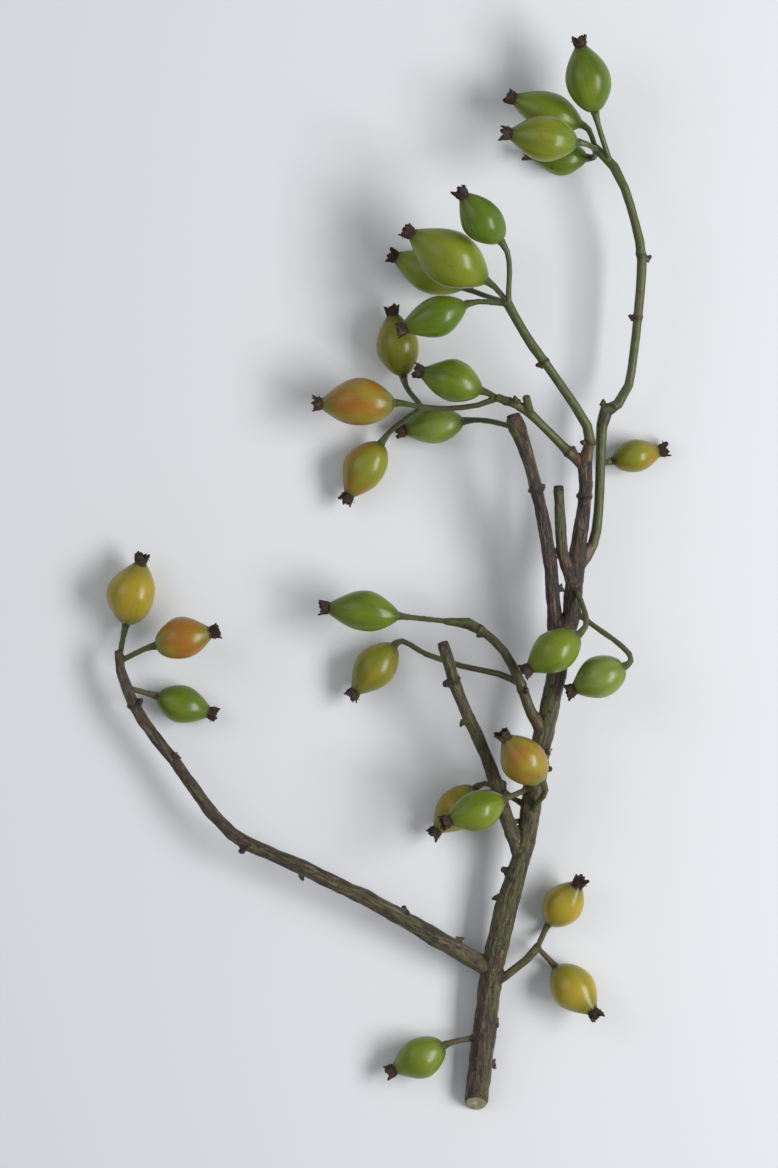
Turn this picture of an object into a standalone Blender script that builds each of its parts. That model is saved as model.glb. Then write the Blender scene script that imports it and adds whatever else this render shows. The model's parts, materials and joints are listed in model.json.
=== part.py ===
"""A cut rose hip sprig, lying on a table.

A woody stem with its laterals carries four green shoots. Stalks at the tips of the shoots, and along the
wood, each hold one hip, and each hip ends in a dry brown crown, which is what is left of the flower. Every
hip, crown and shoot is an object of its own, and the woody stem is one more.

Lengths in the tables are millimetres. The sprig is drawn from above: X to the right, Y from the cut end
towards the tips, Z up from the table. The last step moves the middle of its box to the world's origin.
"""

import math
import random
from collections import namedtuple

import bmesh
import bpy
from mathutils import Matrix, Vector

MM = 0.001
GAP = 0.3  # air between two objects that meet
FLAT = 0.3  # how deep a resting hip is pressed flat by the table

# ---------------------------------------------------------------- the wood and the shoots

WOOD_SIDES, SHOOT_SIDES, STALK_SIDES, GROWTH_SIDES = 10, 8, 6, 5
WOOD_STEP, SHOOT_STEP, STALK_STEP = 8.0, 6.0, 4.0
CUT_SLANT = 0.9  # how far the cut at the foot leans, in lengths per height

# Each route is a list of points (x, y, z, radius), from where it grows to its tip.
MAIN_STEM = [
    (3.2, 0, 4.4, 4.5), (6, 24, 5.6, 4.4), (9.3, 53, 7.8, 4.3), (15.3, 80, 10.8, 4.0), (20.5, 98, 13, 3.6),
    (23, 111, 14, 3.6), (24.8, 125, 15, 4.1), (29, 148, 17, 3.7), (34.5, 174, 18, 3.7), (38.6, 191, 18.6, 3.5),
    (40.1, 205, 19.3, 3.3), (41.4, 219, 19.9, 2.9), (42.7, 228, 20.4, 2.65), (44, 240, 21, 2.5),
    (43.3, 249.5, 21.5, 2.9),
]
LONG_LATERAL = [
    (8.5, 53, 8, 3.6), (-13, 66, 11, 3.3), (-39, 81, 13, 3.0), (-70, 96, 14, 2.75), (-90, 106, 14, 2.55),
    (-103, 121, 13, 2.35), (-113, 135, 12, 2.3), (-124, 149, 12, 2.2), (-129.5, 160, 12, 2.1),
    (-132.5, 169, 12, 2.0), (-133, 176, 11.5, 1.6),
]
DARK_LATERAL = [
    (33, 174, 17.5, 3.0), (32.3, 186, 20, 2.8), (30.5, 209, 24, 2.55), (25.3, 238, 27, 2.45),
    (20.3, 254.5, 28, 2.45), (17.6, 261.5, 27.5, 3.25), (16.2, 266, 27, 2.9),
]
PRUNED_LATERAL = [
    (19.5, 98, 13, 3.1), (13, 117, 17, 2.6), (6, 138, 20, 2.4), (-3, 158, 23, 2.35), (-10, 180, 25, 2.3),
]
PRUNED_STUB = [(39, 203, 20, 2.5), (35, 214, 23.5, 2.2), (34, 228, 24.5, 2.1), (33.4, 239, 24.5, 2.05)]
HIP_LATERAL = [(7.5, 46, 7, 2.1), (14, 50, 9, 1.7), (22, 56.5, 9.5, 1.6), (27, 62, 9, 1.8)]
WOOD_ROUTES = [MAIN_STEM, LONG_LATERAL, DARK_LATERAL, PRUNED_LATERAL, PRUNED_STUB, HIP_LATERAL]

SHOOT_ROUTES = {
    "a": [
        [
            (41, 207, 19, 2.2), (46.8, 217, 16.5, 2.1), (48.8, 229, 15.5, 1.95), (49.6, 249, 15, 1.95),
            (50, 262, 15.5, 2.2), (51.5, 267.5, 15.5, 2.55), (56, 270, 15.7, 2.1), (60, 277, 16, 1.8),
            (61.8, 289, 16.5, 1.75), (63.2, 302, 17, 1.8), (64.6, 324, 18, 1.95), (62, 338, 18.5, 1.75),
            (58, 351, 18.5, 1.75), (54, 359, 18, 1.95), (46.5, 366.5, 17, 1.7),
        ],
    ],
    "b": [
        [
            (42.8, 248.5, 21.5, 2.2), (45.3, 256, 23, 2.25), (44, 262, 24, 2.0), (39.5, 269.5, 25, 1.85),
            (28, 286, 27, 1.8), (23.5, 292, 27.5, 1.95), (18.5, 300, 28, 1.8), (13.5, 309, 28, 1.95),
        ],
    ],
    "c": [
        [
            (42.3, 247, 21.5, 2.3), (34, 255.5, 23, 1.85), (26, 263.5, 26, 1.7), (21, 268.5, 29, 1.95),
            (17, 270.5, 30.8, 1.65), (10, 273, 29, 1.65),
        ],
        [(23, 266.5, 27.5, 1.4), (21.8, 269.5, 30.5, 1.7), (20.8, 273.5, 33, 1.5)],
        [(11, 273, 29, 1.3), (3, 270, 26.5, 1.1), (-9, 268.5, 23, 1.1), (-19, 269, 21, 1.35)],
    ],
    "e": [
        [
            (28, 143, 16.5, 2.5), (22, 157, 23, 2.15), (18.8, 166, 24.5, 2.0), (13, 177, 24, 1.8),
            (5, 184.5, 22.5, 1.75), (-0.5, 187.5, 21.5, 2.2), (-9, 188, 20.5, 1.4),
        ],
        [(18.8, 165, 24, 1.5), (11, 168, 19.5, 1.25), (-3, 170.5, 15, 1.15), (-17, 175, 12.5, 1.1)],
    ],
}
# The buds of a shoot: how far along it, and the turn round it in degrees. 0 is its right side, 180 its left.
SHOOT_BUDS = {
    "a": [(0.38, 180), (0.60, 180), (0.75, 0)],
    "b": [(0.12, 200), (0.56, 180)],
    "c": [(0.20, 40), (0.87, 327)],
    "e": [(0.45, 300), (0.88, 150)],
}

# ---------------------------------------------------------------- hips, crowns and stalks

HIP_SIDES, HIP_RINGS = 12, 9
BASE_RADIUS, NECK_RADIUS = 1.7, 2.4  # where the stalk meets a hip, and where the crown does
ROUND_SHOULDER, SLIM_SHOULDER, TAPER = 0.58, 0.90, 0.98  # how fast a body narrows to its base and its neck
ROUND_RATIO, SLIM_RATIO = 1.28, 1.58  # length over width of the roundest and of the slimmest body
STALK_RADIUS, STALK_END_RADIUS = 1.1, 1.5
STALK_TIP = 1.0  # the straight length with which a stalk meets its hip
CROWN_LOBES, CROWN_SEED = 5, 7
RIM_RADIUS, RIM_HEIGHT = 2.8, 3.0
LOBE_FLARE, LOBE_HEIGHT = 0.4, 1.8  # how far a lobe of size 1 leans out and stands up from the rim
NOTCH = (2.2, 3.4)  # radius and height of the rim between two lobes
# (radius, height) of the cup at a lobe and at a notch, ring by ring, and of the floor inside
CROWN_CUP = [((2.1, 0), (2.1, 0)), ((2.6, 1.1), (2.35, 1.1)), ((RIM_RADIUS, RIM_HEIGHT), (2.4, 2.8))]
CROWN_FLOOR = ((1.4, 2.5), (1.4, 2.3))
CROWN_MIDDLE = 2.1

# root is where the stalk grows, base is the hip's lower end, heading and rise are the way it points, in
# degrees in plan and above the table, length and width are its body without the crown. A hip that rests is
# let down, or lifted, until the table presses it flat.
Hip = namedtuple("Hip", "name holder root base heading rise length width tone rests")
HIPS = [
    Hip("a1", "a", (53, 359.5, 18), (46.5, 379.5, 23), 103, 4, 24.5, 17.4, "green", False),
    Hip("a2", "a", (47.5, 365.5, 17), (39.5, 368, 27), 173, 2, 24.5, 17.2, "lime", False),
    Hip("a3", "a", (47.5, 365.5, 17), (41.5, 375, 13), 159, -2, 26, 15.2, "green", False),
    Hip("a4", "a", (47.5, 365.5, 17), (44, 362.5, 9), 176, -2, 20, 13.4, "green", True),
    Hip("b1", "b", (14.5, 308, 28), (11, 331.5, 35), 130, 12, 21.5, 15.5, "green", False),
    Hip("b2", "b", (14.5, 308, 28), (6, 316.5, 26.5), 148, 2, 32.5, 21, "lime", False),
    Hip("b3", "b", (14.5, 308, 28), (-2.5, 314, 10), 156, -2, 27, 16.6, "lime", True),
    Hip("b4", "b", (14.5, 308, 28), (-2, 307.5, 26), 201, 0, 23.5, 15.2, "green", False),
    Hip("c1", "c", (11, 272.5, 29), (4, 275.5, 27), 163, -6, 22.5, 15.5, "green", False),
    Hip("c2", "wood", (17, 262, 27.5), (-2.5, 263, 9), 189, -6, 21.5, 14.2, "pale", True),
    Hip("c3", "c", (-18, 269, 21), (-28.5, 270.5, 20), 181, -7, 27, 18.5, "orange", False),
    Hip("c4", "c", (-18, 269, 21), (-33.5, 254.5, 9), 238, -4, 22.5, 16.2, "striped", True),
    Hip("c5", "c", (-18, 269, 21), (-25, 280.5, 10), 100, -4, 23, 16.0, "olive", True),
    Hip("j1", "a", (49, 246, 15), (55, 248, 8), 12, -6, 17.5, 12.6, "striped", True),
    Hip("d1", "wood", (39.5, 204, 19.5), (40.5, 184, 32), 215, 0, 21.5, 16.0, "green", False),
    Hip("d2", "wood", (38.5, 193, 18.5), (58, 171.5, 27), 205, -3, 20, 16.2, "pale", False),
    Hip("e1", "e", (-8, 188, 20.5), (-27, 190, 19.5), 174, -6, 26, 15.4, "green", False),
    Hip("e2", "e", (-16, 174.7, 12.6), (-28.5, 177.5, 9), 230, -3, 22.5, 15.6, "olive", True),
    Hip("f1", "wood", (22, 113, 14), (27, 128.5, 28), 129, 12, 21.5, 17.2, "orange", False),
    Hip("g1", "wood", (22, 117, 14.3), (2.5, 122.5, 10), 228, -3, 21, 15.6, "olive", True),
    Hip("g2", "wood", (23.8, 124, 15), (12.5, 121, 27), 199, 16, 22, 15.6, "green", False),
    Hip("h1", "wood", (26.5, 61.5, 9), (31.5, 70, 7), 58, 27, 21, 15.0, "gold", True),
    Hip("h2", "wood", (26.5, 61.5, 9), (34, 52.5, 7), -48, 24, 22, 16.4, "gold", True),
    Hip("i1", "wood", (4.5, 26, 5.8), (-9.5, 23, 8), 207, -4, 20.5, 15.8, "pale", True),
    Hip("l1", "wood", (-133, 172, 12), (-130.5, 186, 9), 76, 8, 24, 18.0, "gold", True),
    Hip("l2", "wood", (-131, 162, 12), (-118.5, 158, 9), -18, -3, 20, 14.4, "green", True),
    Hip("l3", "wood", (-132.7, 172, 12), (-118.5, 178.5, 17), 14, 4, 21, 16.0, "orange", False),
]

# ---------------------------------------------------------------- prickles and buds

PRICKLE_LENGTH, PRICKLE_RADIUS = 3.0, 1.4
BUD_LENGTH, BUD_RADIUS = 2.0, 1.2
TURN_PER_NODE = math.radians(144)  # rose leaves stand at two fifths of a turn from one node to the next

# ---------------------------------------------------------------- colours

COLOURS = {
    "wood": (0.085, 0.06, 0.035), "shoot": (0.11, 0.14, 0.035), "crown": (0.045, 0.022, 0.01),
    "green": (0.10, 0.17, 0.016), "lime": (0.20, 0.24, 0.028), "pale": (0.24, 0.28, 0.07),
    "olive": (0.17, 0.165, 0.02), "striped": (0.27, 0.19, 0.03), "gold": (0.36, 0.27, 0.03),
    "orange": (0.36, 0.16, 0.022),
}


def clear_scene():
    for thing in list(bpy.data.objects):
        bpy.data.objects.remove(thing)


def material(tone, roughness):
    """The tone's material, made when it is first asked for."""
    made = bpy.data.materials.get(tone) or bpy.data.materials.new(tone)
    made.use_nodes = True
    shader = made.node_tree.nodes["Principled BSDF"]
    shader.inputs["Base Color"].default_value = (*COLOURS[tone], 1)
    shader.inputs["Roughness"].default_value = roughness
    shader.inputs["Metallic"].default_value = 0
    return made


def object_from(mesh_data, name, tone=None, roughness=0.7):
    """A bmesh in millimetres as an object in metres, with its faces pointing out."""
    bmesh.ops.recalc_face_normals(mesh_data, faces=mesh_data.faces)
    mesh_data.transform(Matrix.Scale(MM, 4))
    mesh = bpy.data.meshes.new(name)
    mesh_data.to_mesh(mesh)
    mesh_data.free()
    made = bpy.data.objects.new(name, mesh)
    bpy.context.scene.collection.objects.link(made)
    if tone:
        mesh.materials.append(material(tone, roughness))
    return made


# ---------------------------------------------------------------- routes and tubes


def smooth_route(points, step):
    """Points about a step apart on the Catmull-Rom curve through (x, y, z, radius) points."""
    ends = [Vector(p) for p in points]
    ends = [2 * ends[0] - ends[1], *ends, 2 * ends[-1] - ends[-2]]
    route = []
    for a, b, c, d in zip(ends, ends[1:], ends[2:], ends[3:]):
        count = max(1, round((c - b).to_3d().length / step))
        for i in range(count):
            t = i / count
            route.append(
                0.5 * (2 * b + (c - a) * t + (2 * a - 5 * b + 4 * c - d) * t**2
                       + (3 * b - a - 3 * c + d) * t**3)
            )
    return [*route, ends[-2]]


def stalk_route(hip, base, way):
    """A bowed stalk from its root to just short of the hip's base, which it enters along the hip's axis."""
    start = Vector(hip.root)
    end = base - way * GAP
    reach = (end - start).length
    leave = (end - start).normalized() * reach * 0.9
    arrive = way * reach * 0.9
    count = max(4, round(reach / STALK_STEP))
    end -= way * STALK_TIP
    route = []
    for i in range(count + 1):
        t = i / count
        at = (
            (2 * t**3 - 3 * t**2 + 1) * start + (t**3 - 2 * t**2 + t) * leave
            + (3 * t**2 - 2 * t**3) * end + (t**3 - t**2) * arrive
        )
        swelling = max(0, 1 - (1 - t) * reach / 4)
        radius = STALK_RADIUS + (STALK_END_RADIUS - STALK_RADIUS) * swelling
        route.append(Vector((*at, radius)))
    return [*route, Vector((*(end + way * STALK_TIP), STALK_END_RADIUS))]


def tube(route, sides, widen=0, slant=0):
    """A closed tube with a ring of sides at each point of the route. widen adds to it all round and at both
    ends, slant leans its first ring."""
    tube_mesh = bmesh.new()
    centres = [p.to_3d() for p in route]
    ends = {0: -widen, len(route) - 1: widen}
    lean = {0: slant}
    side = Vector((0, 0, 1))
    rings = []
    for i, (centre, point) in enumerate(zip(centres, route)):
        along = (centres[min(i + 1, len(route) - 1)] - centres[max(i - 1, 0)]).normalized()
        side = (side - along * side.dot(along)).normalized()
        across = along.cross(side)
        ring = []
        for k in range(sides):
            turn = 2 * math.pi * (k + 0.5) / sides
            out = (side * math.cos(turn) + across * math.sin(turn)) * (point.w + widen)
            ring.append(tube_mesh.verts.new(centre + out + along * (ends.get(i, 0) + lean.get(i, 0) * out.z)))
        rings.append(ring)
    for low, high in zip(rings, rings[1:]):
        for k in range(sides):
            n = (k + 1) % sides
            tube_mesh.faces.new((low[k], low[n], high[n], high[k]))
    tube_mesh.faces.new(reversed(rings[0]))
    tube_mesh.faces.new(rings[-1])
    return tube_mesh


def press_flat(solid):
    """Cuts off what lies under the table and closes the cut with a flat face."""
    everything = [*solid.verts, *solid.edges, *solid.faces]
    cut = bmesh.ops.bisect_plane(
        solid, geom=everything, plane_co=(0, 0, 0), plane_no=(0, 0, 1), clear_inner=True
    )
    edges = [e for e in cut["geom_cut"] if isinstance(e, bmesh.types.BMEdge)]
    if edges:
        bmesh.ops.contextual_create(solid, geom=edges)
    return solid


# ---------------------------------------------------------------- joining and trimming


def apply_boolean(target, others, operation):
    """Joins the other objects to the target, or cuts them from it, and removes them."""
    tools = bpy.data.collections.new("tools")
    for other in others:
        tools.objects.link(other)
    boolean = target.modifiers.new("join", "BOOLEAN")
    boolean.operand_type = "COLLECTION"
    boolean.collection = tools
    boolean.operation = operation
    bpy.context.view_layer.update()
    graph = bpy.context.evaluated_depsgraph_get()
    joined = bpy.data.meshes.new_from_object(target.evaluated_get(graph))
    target.modifiers.remove(boolean)
    target.data = joined
    for other in others:
        bpy.data.objects.remove(other)
    bpy.data.collections.remove(tools)


def frame_at(route, share):
    """(point, way along, sideways, radius) at a share of a route's length."""
    i = min(int(share * (len(route) - 1)), len(route) - 2)
    along = (route[i + 1].to_3d() - route[i].to_3d()).normalized()
    aside = along.cross(Vector((0, 0, 1))).normalized()
    return route[i].to_3d(), along, aside, route[i].w


def growth(route, share, turn, length, radius, lean):
    """A small pointed thing on a stem: a prickle leans back towards the foot, a bud forwards."""
    at, along, aside, stem = frame_at(route, share)
    out = aside * math.cos(turn) + along.cross(aside) * math.sin(turn)
    root = at + out * stem * 0.4
    middle = at + out * (stem + length * 0.35) + along * lean * length * 0.35
    tip = at + out * (stem + length * 0.75) + along * lean * length
    shape = [(*root, radius * 1.1), (*middle, radius * 0.75), (*tip, radius * 0.22)]
    return [Vector(p) for p in shape]


def growths(routes, counts, length, radius, lean, phase):
    """The shapes of growths at even shares of each route, each two fifths of a turn from the last. Those
    that would reach under the table are left out."""
    found = []
    for route, count in zip(routes, counts):
        for k in range(count):
            share = (k + phase) / count
            turn = phase + k * TURN_PER_NODE
            shape = growth(route, share, turn, length, radius, lean)
            if all(point.z > point.w for point in shape):
                found.append(shape)
    return found


# ---------------------------------------------------------------- hips and crowns


def hip_radius(t, width, length):
    """The body's radius at a share t of its length. It is drawn in to a neck at the crown. A round body has
    full shoulders at its base, and a slim one narrows to its base too."""
    end = BASE_RADIUS + (NECK_RADIUS - BASE_RADIUS) * t
    slim = min(max((length / width - ROUND_RATIO) / (SLIM_RATIO - ROUND_RATIO), 0), 1)
    shoulder = ROUND_SHOULDER + (SLIM_SHOULDER - ROUND_SHOULDER) * slim
    fullness = shoulder + (TAPER - shoulder) * t
    return end + (width / 2 - end) * max(0.0, math.sin(math.pi * t**0.95)) ** fullness


def pointing(hip):
    heading, rise = math.radians(hip.heading), math.radians(hip.rise)
    return Vector((math.cos(heading) * math.cos(rise), math.sin(heading) * math.cos(rise), math.sin(rise)))


def lathe(rings, sides, place):
    """A closed solid from (distance along, radius) rings, each closed at the ends by a flat face."""
    solid = bmesh.new()
    made = []
    for along, radius in rings:
        turns = [2 * math.pi * (k + 0.5) / sides for k in range(sides)]
        made.append([
            solid.verts.new(place @ Vector((radius * math.cos(a), radius * math.sin(a), along)))
            for a in turns
        ])
    for low, high in zip(made, made[1:]):
        for k in range(sides):
            n = (k + 1) % sides
            solid.faces.new((low[k], low[n], high[n], high[k]))
    solid.faces.new(reversed(made[0]))
    solid.faces.new(made[-1])
    return solid


def placed(at, way):
    """The matrix that puts a solid built up along +Z at a point, pointing the given way."""
    return Matrix.Translation(at) @ way.to_track_quat("Z", "Y").to_matrix().to_4x4()


def hip_body(hip, base, way):
    shares = [(1 - math.cos(math.pi * k / (HIP_RINGS - 1))) / 2 for k in range(HIP_RINGS)]
    rings = [(hip.length * t, hip_radius(t, hip.width, hip.length)) for t in shares]
    return lathe(rings, HIP_SIDES, placed(base, way))


def settled_base(hip, way):
    """The hip's lower end, moved up or down so that a resting hip is pressed into the table by FLAT."""
    base = Vector(hip.base)
    if hip.rests:
        body = hip_body(hip, base, way)
        base.z -= min(v.co.z for v in body.verts) + FLAT
        body.free()
    return base


def make_hip(hip, base, way):
    body = hip_body(hip, base, way)
    if hip.rests:
        press_flat(body)
    object_from(body, f"hip_{hip.name}", hip.tone, 0.3).data.shade_smooth()


def crown_rings(draw):
    """The rings of a crown as lists of (radius, height), with a lobe and a notch in turn: the cup from its
    foot to its rim, the torn tips of the lobes, and the edge of the floor inside."""
    lobes = [draw.uniform(0.75, 1.15) for _ in range(CROWN_LOBES)]
    tips = [((RIM_RADIUS + LOBE_FLARE * size, RIM_HEIGHT + LOBE_HEIGHT * size), NOTCH) for size in lobes]
    cup = [[pair] * CROWN_LOBES for pair in CROWN_CUP]
    rings = [*cup, tips, [CROWN_FLOOR] * CROWN_LOBES]
    return [[spot for pair in ring for spot in pair] for ring in rings]


def make_crown(hip, base, way, draw):
    """The dry calyx: a short cup on the hip's neck, with ragged lobes round a low middle."""
    place = placed(base + way * (hip.length + GAP), way)
    sides = 2 * CROWN_LOBES
    crown = bmesh.new()
    made = []
    for ring in crown_rings(draw):
        turns = [2 * math.pi * k / sides for k in range(sides)]
        made.append([
            crown.verts.new(place @ Vector((radius * math.cos(a), radius * math.sin(a), height)))
            for a, (radius, height) in zip(turns, ring)
        ])
    middle = crown.verts.new(place @ Vector((0, 0, CROWN_MIDDLE)))
    for k in range(sides):
        n = (k + 1) % sides
        for low, high in zip(made, made[1:]):
            crown.faces.new((low[k], low[n], high[n], high[k]))
        crown.faces.new((made[-1][k], made[-1][n], middle))
    crown.faces.new(reversed(made[0]))
    object_from(crown, f"crown_{hip.name}", "crown", 0.9)


# ---------------------------------------------------------------- assembly


def make_wood(stalks):
    routes = [smooth_route(points, WOOD_STEP) for points in WOOD_ROUTES]
    main = object_from(press_flat(tube(routes[0], WOOD_SIDES, slant=CUT_SLANT)), "woody_stem", "wood", 0.8)
    small = growths(routes[:4], (4, 3, 1, 2), PRICKLE_LENGTH, PRICKLE_RADIUS, -0.7, 0.35)
    small += growths(routes[:4], (5, 3, 1, 2), BUD_LENGTH, BUD_RADIUS, 0.6, 0.72)
    parts = [tube(route, WOOD_SIDES - 2) for route in routes[1:]]
    parts += [tube(route, STALK_SIDES) for route in stalks]
    parts += [tube(shape, GROWTH_SIDES) for shape in small]
    apply_boolean(main, [object_from(part, "part") for part in parts], "UNION")
    main.data.shade_smooth()
    return [*routes, *stalks, *small]


def make_shoot(name, points, stalks, earlier):
    """A green shoot, trimmed to stand just off the stems made earlier. Returns its routes."""
    routes = [smooth_route(route, SHOOT_STEP) for route in points]
    buds = [
        growth(routes[0], share, math.radians(turn), BUD_LENGTH, BUD_RADIUS, 0.6)
        for share, turn in SHOOT_BUDS[name]
    ]
    parts = [tube(route, SHOOT_SIDES) for route in routes]
    parts += [tube(route, STALK_SIDES) for route in stalks]
    parts += [tube(shape, GROWTH_SIDES) for shape in buds]
    objects = [object_from(part, f"shoot_{name}", "shoot", 0.6) for part in parts]
    apply_boolean(objects[0], objects[1:], "UNION")
    clear = [tube(route, WOOD_SIDES, widen=GAP) for route in earlier]
    apply_boolean(objects[0], [object_from(part, "clearance") for part in clear], "DIFFERENCE")
    objects[0].data.shade_smooth()
    return [*routes, *stalks, *buds]


def centre_on_origin():
    """Moves every mesh so that the middle of the sprig's box is over the origin, on the table."""
    points = [v.co for thing in bpy.data.objects for v in thing.data.vertices]
    middle = [(min(p[axis] for p in points) + max(p[axis] for p in points)) / 2 for axis in range(2)]
    for thing in bpy.data.objects:
        thing.data.transform(Matrix.Translation((-middle[0], -middle[1], 0)))


def main():
    clear_scene()
    draw = random.Random(CROWN_SEED)
    stalks = {}
    for hip in HIPS:
        way = pointing(hip)
        base = settled_base(hip, way)
        make_hip(hip, base, way)
        make_crown(hip, base, way, draw)
        stalks.setdefault(hip.holder, []).append(stalk_route(hip, base, way))
    stems = make_wood(stalks["wood"])
    for name, points in SHOOT_ROUTES.items():
        stems += make_shoot(name, points, stalks[name], stems)
    centre_on_origin()


main()
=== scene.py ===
# %% [markdown]
# # A rose hip sprig, from plain solids to the real look
#
# The solids of this sprig are already made: a woody stem, four green shoots, the hips and the dry crowns on
# them. They are right in size and place, but they are plain. This lesson grows the look of the real thing on
# each of them: round glossy hips whose colour turns from green to orange, ragged brown crowns, furrowed bark
# with cut ends, and smooth young shoots.
#
# Every step starts with a few words on what the piece is on a real rose, and why it is made the way it is.

# %% Load the solids
import heapq
import json
import math

import bmesh
import bpy
import numpy as np
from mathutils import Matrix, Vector
from mathutils.bvhtree import BVHTree


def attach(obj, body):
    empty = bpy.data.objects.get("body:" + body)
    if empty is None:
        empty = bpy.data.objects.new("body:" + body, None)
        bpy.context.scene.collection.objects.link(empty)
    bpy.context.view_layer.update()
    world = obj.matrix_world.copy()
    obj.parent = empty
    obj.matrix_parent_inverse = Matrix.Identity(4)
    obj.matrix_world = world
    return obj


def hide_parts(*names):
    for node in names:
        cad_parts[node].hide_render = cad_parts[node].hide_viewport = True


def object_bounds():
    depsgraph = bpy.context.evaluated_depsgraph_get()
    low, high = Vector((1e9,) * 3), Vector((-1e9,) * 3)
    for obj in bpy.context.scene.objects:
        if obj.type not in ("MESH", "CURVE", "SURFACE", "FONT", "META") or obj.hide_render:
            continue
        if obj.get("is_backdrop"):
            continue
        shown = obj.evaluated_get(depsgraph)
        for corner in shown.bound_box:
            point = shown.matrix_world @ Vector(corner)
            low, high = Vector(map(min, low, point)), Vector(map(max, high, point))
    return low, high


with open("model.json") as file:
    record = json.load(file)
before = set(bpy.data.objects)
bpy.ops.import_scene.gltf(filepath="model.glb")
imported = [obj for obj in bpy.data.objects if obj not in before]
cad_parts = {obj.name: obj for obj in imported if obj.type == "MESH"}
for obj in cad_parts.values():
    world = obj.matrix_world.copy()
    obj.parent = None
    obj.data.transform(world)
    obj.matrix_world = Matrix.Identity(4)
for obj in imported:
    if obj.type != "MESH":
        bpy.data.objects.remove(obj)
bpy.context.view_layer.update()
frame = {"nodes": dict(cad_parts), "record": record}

nodes = frame["nodes"]
MM = 0.001
hip_names = sorted(name[4:] for name in nodes if name.startswith("hip_"))
shoot_names = sorted(name for name in nodes if name.startswith("shoot_"))
print(len(nodes), "solids:", len(hip_names), "hips and", len(shoot_names), "shoots")

# %% [markdown]
# ## Helpers for node trees
#
# Materials and Geometry Nodes are both graphs of nodes. One small function that adds a node, sets it up and
# links it in a single call keeps every graph in this lesson short enough to read from top to bottom.


# %% Add a node in one call
def put(tree, kind, inputs=(), **settings):
    """Adds a node to a tree. Each input is filled with a value, or linked where it is given a socket."""
    node = tree.nodes.new(kind)
    for key, value in settings.items():
        setattr(node, key, value)
    for key, value in dict(inputs).items():
        if isinstance(value, bpy.types.NodeSocket):
            tree.links.new(value, node.inputs[key])
        else:
            node.inputs[key].default_value = value
    return node


def maths(tree, operation, a, b=0.0):
    """The socket of a Math node."""
    return put(tree, "ShaderNodeMath", {0: a, 1: b}, operation=operation).outputs[0]


def times(tree, a, b):
    return maths(tree, "MULTIPLY", a, b)


def plus(tree, a, b):
    return maths(tree, "ADD", a, b)


def less(tree, a, b):
    return maths(tree, "SUBTRACT", a, b)


def scaled(tree, vector, amount):
    """The socket of a vector multiplied by one number."""
    return put(tree, "ShaderNodeVectorMath", {0: vector, "Scale": amount}, operation="SCALE").outputs[0]


def stretched(tree, vector, amounts):
    """The socket of a vector multiplied by three numbers, one for each of its directions."""
    return put(tree, "ShaderNodeVectorMath", {0: vector, 1: amounts}, operation="MULTIPLY").outputs[0]


def ramp(tree, value, low, high, start=0.0, end=1.0):
    """The socket of a smooth step that goes from start to end as value goes from low to high."""
    inputs = {"Value": value, "From Min": low, "From Max": high, "To Min": start, "To Max": end}
    return put(tree, "ShaderNodeMapRange", inputs, interpolation_type="SMOOTHSTEP").outputs[0]


print("one call adds and links a node")


# %% Mix colours, read attributes and noise
def blend(tree, share, first, second):
    """The socket of a colour that goes from first to second."""
    mix = put(tree, "ShaderNodeMix", data_type="RGBA")
    for index, value in ((0, share), (6, first), (7, second)):
        if isinstance(value, bpy.types.NodeSocket):
            tree.links.new(value, mix.inputs[index])
        elif index:
            mix.inputs[index].default_value = (*value, 1)
        else:
            mix.inputs[index].default_value = value
    return mix.outputs[2]


def coat(tree, under, paint, value, low, high, start=0.0, end=1.0):
    """The socket of a colour with paint laid over it, where a value goes from low to high."""
    return blend(tree, ramp(tree, value, low, high, start, end), under, paint)


def attribute(tree, name, output="Fac"):
    """The socket of an attribute that the piece's mesh carries."""
    return put(tree, "ShaderNodeAttribute", attribute_name=name).outputs[output]


def noise(tree, vector, scale, detail=2.0, w=None, rough=0.5):
    """The socket of a noise texture, with a fourth coordinate where w is given."""
    inputs = {"Vector": vector, "Scale": scale, "Detail": detail, "Roughness": rough}
    if w is not None:
        inputs["W"] = w
    return put(tree, "ShaderNodeTexNoise", inputs, noise_dimensions="3D" if w is None else "4D").outputs[0]


def flecks(tree, place, scale, wide, narrow):
    """The socket of small round spots: 1 in the middle of each, 0 from wide on."""
    away = put(tree, "ShaderNodeTexVoronoi", {"Vector": place, "Scale": scale}).outputs["Distance"]
    return ramp(tree, away, wide, narrow)


# %% Start and end a material
def new_material(name, roughness, **more):
    """A material and its tree, its Principled shader and an Object coordinates socket."""
    made = bpy.data.materials.new(name)
    made.use_nodes = True
    tree = made.node_tree
    shader = tree.nodes["Principled BSDF"]
    shader.inputs["Roughness"].default_value = roughness
    for key, value in more.items():
        shader.inputs[key.replace("_", " ")].default_value = value
    return made, tree, shader, put(tree, "ShaderNodeTexCoord").outputs["Object"]


def link_up(tree, shader, colour, height, strength, depth, roughness=None):
    """Gives a shader its colour, a bump from height, and a roughness where that isn't even."""
    tree.links.new(colour, shader.inputs["Base Color"])
    bump = put(tree, "ShaderNodeBump", {"Strength": strength, "Distance": depth, "Height": height})
    tree.links.new(bump.outputs[0], shader.inputs["Normal"])
    if roughness is not None:
        tree.links.new(roughness, shader.inputs["Roughness"])


print("helpers for colours and materials are ready")

# %% [markdown]
# ## Reading a solid
#
# A solid arrives as loose triangles, so its corners are merged first. A hip is a body of rings round an
# axis. The twelve corners nearest the stalk and the twelve nearest the crown are its end rings, and their
# middles give the axis.

# %% Weld a solid, find a hip's axis
RING = 12
WELD = 0.002 * MM


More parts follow.
